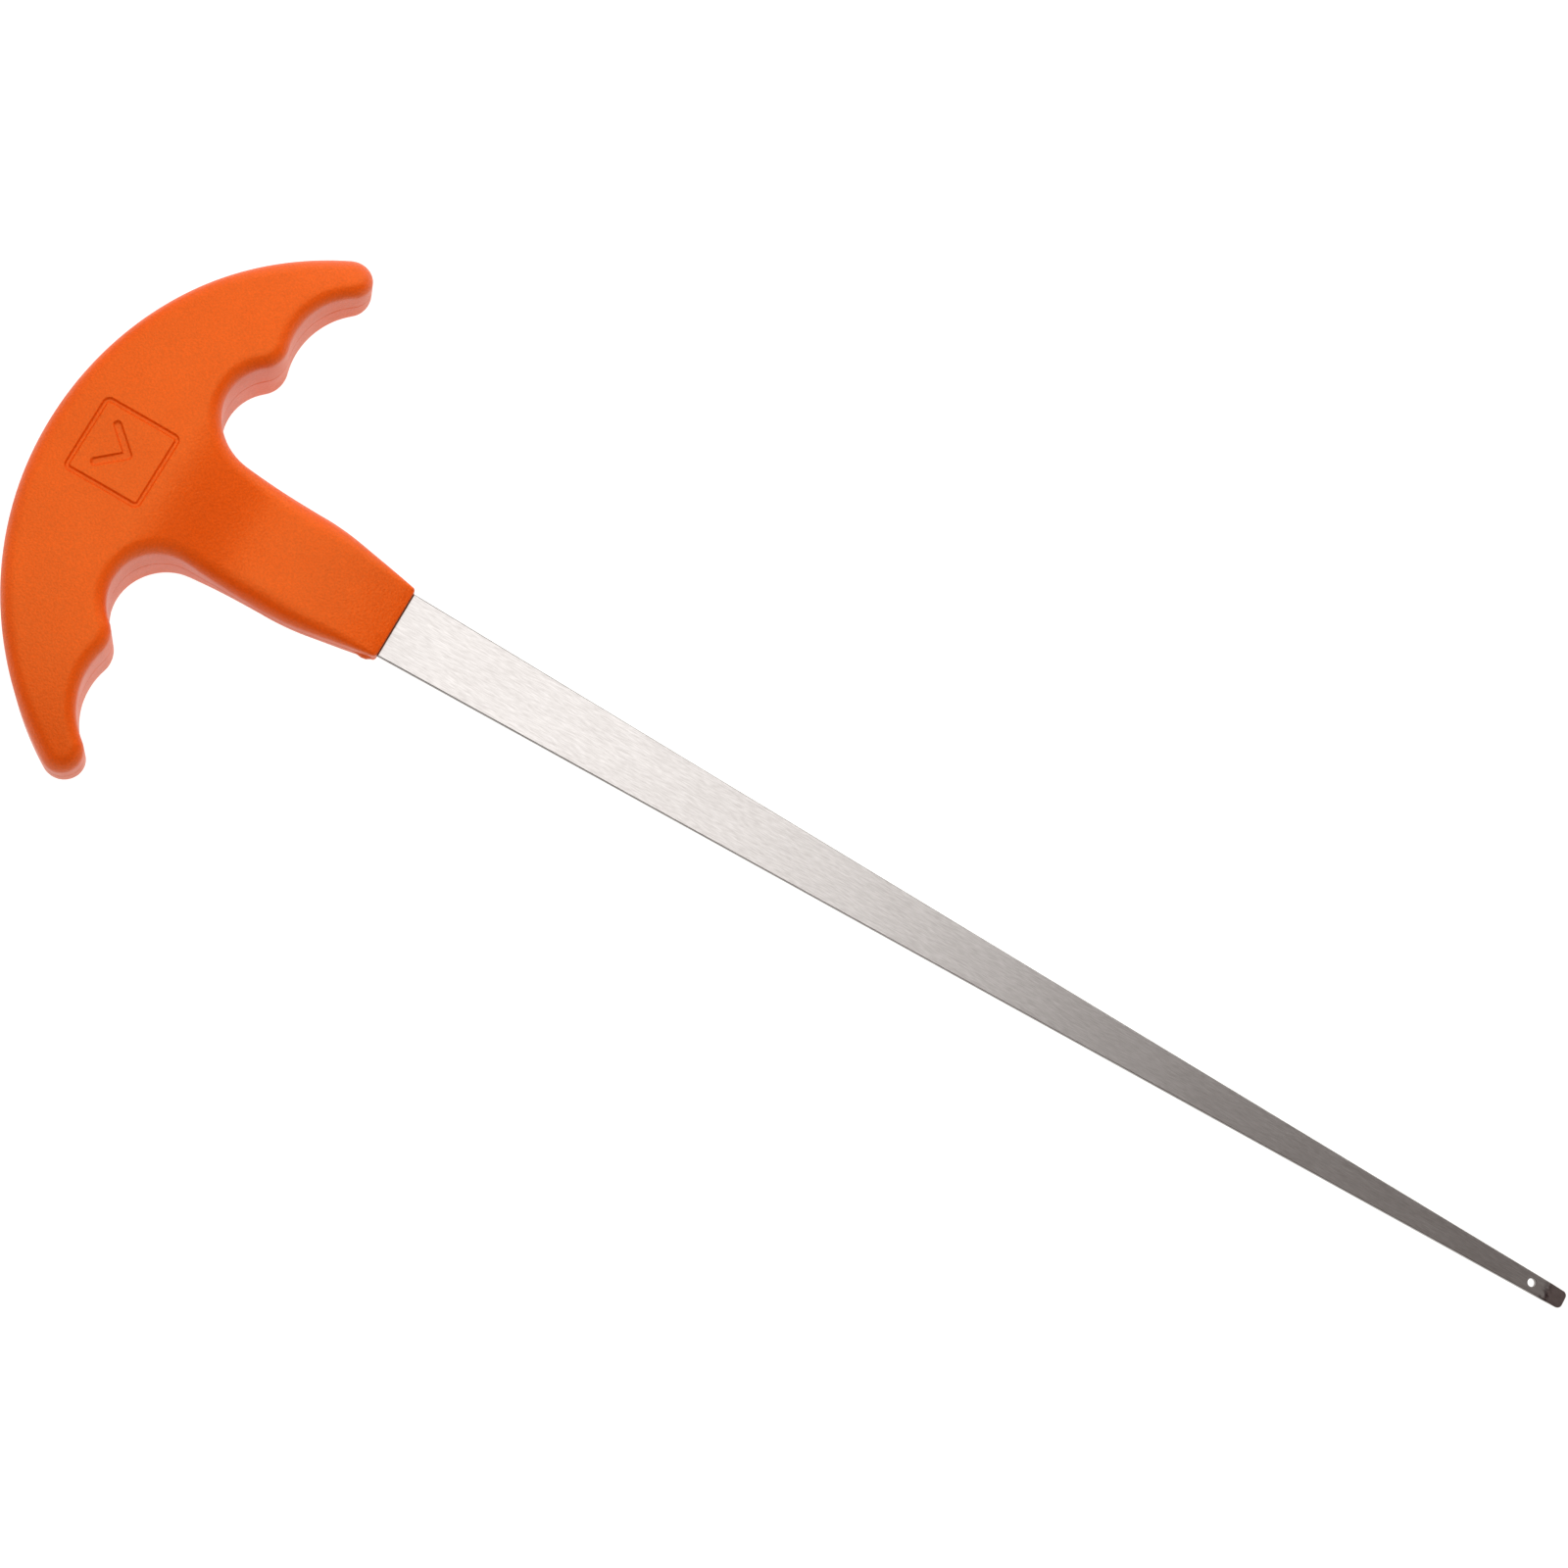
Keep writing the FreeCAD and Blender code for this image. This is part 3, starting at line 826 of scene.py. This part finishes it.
def screw_shank(centre):
    """Coarse thread-forming shank: a core with one sharp helical ridge."""
    around, rows = 36, 84
    heights = np.linspace(-screw_seat - 0.1, shank_end, rows)
    verts = []
    for z in heights:
        taper = min(1.0, point_share + (1 - point_share) * (shank_end - z) / point_length)
        for step in range(around):
            turn = step / around
            phase = (z / thread_pitch - turn) % 1
            ridge = max(0.0, 1 - abs(phase - 0.5) / thread_half)
            radius = taper * (thread_core + (thread_crest - thread_core) * ridge)
            angle = 2 * math.pi * turn
            verts.append((centre[0] + radius * math.cos(angle), centre[1] + radius * math.sin(angle), z))
    faces = []
    for row in range(rows - 1):
        for step in range(around):
            a, b = row * around + step, row * around + (step + 1) % around
            faces.append([a, b, b + around, a + around])
    faces.append(list(range(around))[::-1])
    faces.append([(rows - 1) * around + step for step in range(around)])
    return np.array(verts), faces


# ---------------------------------------------------------------- materials
def new_material(name):
    material = bpy.data.materials.new(name)
    material.use_nodes = True
    nodes, links = material.node_tree.nodes, material.node_tree.links
    return material, nodes, links, nodes["Principled BSDF"]


def noise(nodes, links, scale, detail, stretch=(1, 1, 1), roughness=0.5):
    """Noise laid through the object's own coordinates, in metres."""
    place = nodes.new("ShaderNodeTexCoord")
    squeeze = nodes.new("ShaderNodeMapping")
    squeeze.inputs["Scale"].default_value = stretch
    links.new(place.outputs["Object"], squeeze.inputs["Vector"])
    pattern = nodes.new("ShaderNodeTexNoise")
    pattern.inputs["Scale"].default_value = scale
    pattern.inputs["Detail"].default_value = detail
    pattern.inputs["Roughness"].default_value = roughness
    links.new(squeeze.outputs["Vector"], pattern.inputs["Vector"])
    return pattern.outputs["Fac"]


def ranged(nodes, links, source, low, high, start=0.3, end=0.7):
    """Source remapped from start..end to low..high."""
    remap = nodes.new("ShaderNodeMapRange")
    remap.inputs["From Min"].default_value = start
    remap.inputs["From Max"].default_value = end
    remap.inputs["To Min"].default_value = low
    remap.inputs["To Max"].default_value = high
    links.new(source, remap.inputs["Value"])
    return remap.outputs["Result"]


def split(nodes, links, kind):
    """The three numbers of a texture coordinate."""
    place = nodes.new("ShaderNodeTexCoord")
    parts = nodes.new("ShaderNodeSeparateXYZ")
    links.new(place.outputs[kind], parts.inputs[0])
    return parts.outputs


def maths(nodes, links, operation, *values):
    node = nodes.new("ShaderNodeMath")
    node.operation = operation
    for socket, value in zip(node.inputs, values):
        if isinstance(value, (int, float)):
            socket.default_value = value
        else:
            links.new(value, socket)
    return node.outputs[0]


def ramp(nodes, links, source, stops):
    """Colours along a source value."""
    blend = nodes.new("ShaderNodeValToRGB")
    while len(blend.color_ramp.elements) < len(stops):
        blend.color_ramp.elements.new(0.5)
    for element, (place, colour) in zip(blend.color_ramp.elements, stops):
        element.position = place
        element.color = (*colour, 1)
    links.new(source, blend.inputs["Fac"])
    return blend.outputs["Color"]


def mixed(nodes, links, factor, first, second, mode="MIX"):
    blend = nodes.new("ShaderNodeMix")
    blend.data_type = "RGBA"
    blend.blend_type = mode
    if isinstance(factor, float):
        blend.inputs[0].default_value = factor
    else:
        links.new(factor, blend.inputs[0])
    links.new(first, blend.inputs[6])
    links.new(second, blend.inputs[7])
    return blend.outputs[2]


def bumped(nodes, links, source, depth, before=None):
    """Bump of a given depth in metres, laid over an earlier one."""
    bump = nodes.new("ShaderNodeBump")
    bump.inputs["Distance"].default_value = depth
    links.new(source, bump.inputs["Height"])
    if before is not None:
        links.new(before, bump.inputs["Normal"])
    return bump.outputs["Normal"]


def orange_plastic():
    material, nodes, links, shader = new_material("orange_plastic")
    cloud = noise(nodes, links, 55, 3)
    speck = noise(nodes, links, 2300, 3)
    body = ramp(nodes, links, cloud, [(0.3, (0.80, 0.081, 0.0008)), (0.7, (0.87, 0.091, 0.0013))])
    fleck = ramp(nodes, links, speck, [(0.35, (0.86, 0.84, 0.82)), (0.65, (1.0, 1.0, 1.0))])
    links.new(mixed(nodes, links, 1.0, body, fleck, "MULTIPLY"), shader.inputs["Base Color"])
    links.new(ranged(nodes, links, noise(nodes, links, 160, 4), 0.34, 0.42), shader.inputs["Roughness"])
    grain = bumped(nodes, links, noise(nodes, links, 2100, 3), 0.00012)
    ripple = bumped(nodes, links, noise(nodes, links, 90, 2), 0.00012, grain)
    links.new(ripple, shader.inputs["Normal"])
    shader.inputs["Specular IOR Level"].default_value = 0.43
    shader.inputs["Specular Tint"].default_value = (1.0, 1.0, 0.32, 1)
    return material


def brushed_steel():
    """Brushed along the blade; the ground end is darker. Painted shade darkens the rounded edges and side
    faces by their tilt, and painted shadow lies where the blade meets the collar and, mottled, along the
    start of the bevel.
    """
    material, nodes, links, shader = new_material("brushed_steel")
    fine = noise(nodes, links, 6000, 3, (0.08, 1, 1))
    long = noise(nodes, links, 3200, 2, (0.02, 1, 1))
    cloud = noise(nodes, links, 40, 2)
    x, y, _ = split(nodes, links, "Object")
    _, _, upright = split(nodes, links, "Normal")
    # the second colour is painted shade for the blade's rounded edges
    white, edge_tilt_shade = (1.0, 1.0, 1.0), (0.30, 0.27, 0.25)
    tone = ramp(nodes, links, fine, [(0.3, (0.375, 0.356, 0.344)), (0.7, (0.500, 0.482, 0.470))])
    drift = ramp(nodes, links, cloud, [(0.3, (0.975, 0.972, 0.97)), (0.7, white)])
    # painted shade: rounded edges darkest, side faces darker, flat faces untouched, picked by how far the
    # surface turns from upright
    edge = ramp(nodes, links, maths(nodes, links, "ABSOLUTE", upright),
                [(0.1, (0.50, 0.47, 0.46)), (0.35, edge_tilt_shade), (0.90, edge_tilt_shade), (0.968, white)])
    ground_x = collar_x + (blade_end - bevel_length) * MM
    ground = ramp(nodes, links, ranged(nodes, links, x, 0, 1, ground_x - 0.0004, ground_x + 0.0002),
                  [(0, white), (1, (0.82, 0.74, 0.75))])
    # painted shadow along the start of the ground bevel, mottled by noise and stronger on the -y side
    from_line = maths(nodes, links, "ABSOLUTE", maths(nodes, links, "SUBTRACT", x, ground_x - 0.0001))
    bevel_shade_mask = ranged(nodes, links, noise(nodes, links, 1100, 3), 0, 1, 0.42, 0.56)
    bevel_shade_mask = maths(nodes, links, "MULTIPLY", bevel_shade_mask, ranged(nodes, links, from_line, 1, 0, 0.0005, 0.0014))
    bevel_shade_mask = maths(nodes, links, "MULTIPLY", bevel_shade_mask, ranged(nodes, links, y, 1, 0.4, -0.001, 0.0012))
    bevel_line_shade = ramp(nodes, links, bevel_shade_mask, [(0, white), (1, (0.28, 0.23, 0.24))])
    # painted shadow: a thin dark brown band on the blade right where it leaves the collar face
    from_collar = maths(nodes, links, "SUBTRACT", x, collar_x)
    joint_shade = ramp(nodes, links, ranged(nodes, links, from_collar, 0, 1, 0.0002, 0.00036),
                 [(0, (0.15, 0.055, 0.02)), (1, white)])
    for layer in (drift, edge, ground, bevel_line_shade, joint_shade):
        tone = mixed(nodes, links, 1.0, tone, layer, "MULTIPLY")
    links.new(tone, shader.inputs["Base Color"])
    links.new(ranged(nodes, links, long, 0.29, 0.35), shader.inputs["Roughness"])
    scratch = bumped(nodes, links, fine, 0.000014)
    links.new(bumped(nodes, links, long, 0.000007, scratch), shader.inputs["Normal"])
    shader.inputs["Metallic"].default_value = 1.0
    shader.inputs["Anisotropic"].default_value = 0.45
    shader.inputs["Anisotropic Rotation"].default_value = 0.25
    brushing = nodes.new("ShaderNodeTangent")
    brushing.direction_type = "UV_MAP"
    brushing.uv_map = "brushing"
    links.new(brushing.outputs["Tangent"], shader.inputs["Tangent"])
    return material


def zinc_plate():
    material, nodes, links, shader = new_material("zinc_plate")
    cloud = noise(nodes, links, 420, 4)
    tone = ramp(nodes, links, cloud, [(0.3, (0.50, 0.51, 0.53)), (0.7, (0.64, 0.65, 0.66))])
    links.new(tone, shader.inputs["Base Color"])
    links.new(ranged(nodes, links, noise(nodes, links, 900, 3), 0.26, 0.42), shader.inputs["Roughness"])
    links.new(bumped(nodes, links, noise(nodes, links, 2600, 2), 0.00002), shader.inputs["Normal"])
    shader.inputs["Metallic"].default_value = 1.0
    return material


def pale_floor():
    material, nodes, links, shader = new_material("pale_floor")
    cloud = noise(nodes, links, 12, 2)
    tone = ramp(nodes, links, cloud, [(0.3, (0.16, 0.16, 0.16)), (0.7, (0.18, 0.18, 0.18))])
    links.new(tone, shader.inputs["Base Color"])
    shader.inputs["Roughness"].default_value = 0.9
    shader.inputs["Specular IOR Level"].default_value = 0.1
    shader.inputs["Emission Color"].default_value = (1, 0.99, 0.97, 1)
    shader.inputs["Emission Strength"].default_value = floor_glow
    return material


# ---------------------------------------------------------------- pieces
floor_glow = 1.0
plastic, steel, zinc = orange_plastic(), brushed_steel(), zinc_plate()
add_piece("handle_front", front_shell_mesh(), plastic, "front_shell")
add_piece("handle_rear", rear_shell_mesh(), plastic, "rear_shell")
add_piece("blade_body", blade_mesh(), steel, "blade")
for name, centre in screws.items():
    mesh = mesh_of(name + "_skin", [screw_head(centre), screw_shank(centre)])
    add_piece(name + "_body", mesh, zinc, name)

# ---------------------------------------------------------------- floor, light and camera
floor_z, floor_half = -0.0002, 4
floor_corners = [(x * floor_half, y * floor_half, floor_z) for x, y in ((-1, -1), (1, -1), (1, 1), (-1, 1))]
floor_mesh = bpy.data.meshes.new("floor")
floor_mesh.from_pydata(floor_corners, [], [(0, 1, 2, 3)])
floor_mesh.materials.append(pale_floor())
floor = bpy.data.objects.new("floor", floor_mesh)
bpy.context.scene.collection.objects.link(floor)


def softbox(name, place, target, size, watts):
    lamp = bpy.data.lights.new(name, "AREA")
    lamp.shape = "RECTANGLE"
    lamp.size, lamp.size_y = size
    lamp.energy = watts
    holder = bpy.data.objects.new(name, lamp)
    bpy.context.scene.collection.objects.link(holder)
    away = Vector(place) - Vector(target)
    holder.location = place
    holder.rotation_euler = away.to_track_quat("Z", "Y").to_euler()
    return holder


def radiant(size, brightness):
    """Watts that give a flat lamp of this size a given brightness."""
    return brightness * math.pi * size[0] * size[1]


handle_place = (-0.12, 0.0, 0.0)
lights = [
    ("overhead", (-0.82, 0.60, 1.0), (-0.82, 0.60, 0.0), (1.87, 2.4), 1.1),
    ("key", (-0.125, 0.20, 0.99), (-0.125, 0.20, 0.0), (0.49, 1.0), 1.2),
    ("over_tip", (0.28, 0.20, 1.0), (0.28, 0.20, 0.0), (0.33, 1.3), 0.13),
    ("over_front", (-0.5, -0.9, 1.0), (-0.5, -0.9, 0.0), (1.6, 0.6), 0.45),
    ("behind", (-0.3, 1.4, 0.5), handle_place, (2.2, 0.9), 1.6),
    ("back_right", (0.45, 1.05, 0.8), handle_place, (0.8, 0.9), 1.0),
    ("left", (-1.6, 0.0, 0.45), handle_place, (1.4, 0.7), 0.8),
    ("right", (1.0, -0.2, 0.45), (0.0, 0.0, 0.0), (1.2, 0.7), 0.6),
]
for name, place, target, size, brightness in lights:
    softbox(name, place, target, size, radiant(size, brightness))

world = bpy.data.worlds.new("studio")
world.use_nodes = True
surround = world.node_tree.nodes["Background"]
surround.inputs["Color"].default_value = (1.0, 0.76, 0.68, 1)
surround.inputs["Strength"].default_value = 0.13
bpy.context.scene.world = world
bpy.context.scene.view_settings.view_transform = "Standard"

camera_place = Vector((-0.04499, -0.16661, 0.83182))
view_direction = Vector((0.03626, 0.21365, -0.97624)).normalized()
picture_up = math.radians(119.2)
right = view_direction.cross(Vector((math.cos(picture_up), math.sin(picture_up), 0))).normalized()
up = right.cross(view_direction)
camera_data = bpy.data.cameras.new("camera")
camera_data.lens = 90
camera_data.sensor_width = 36
camera_data.clip_start = 0.01
camera = bpy.data.objects.new("camera", camera_data)
bpy.context.scene.collection.objects.link(camera)
axes = Matrix((right, up, -view_direction)).transposed()
camera.matrix_world = Matrix.Translation(camera_place) @ axes.to_4x4()
bpy.context.scene.camera = camera
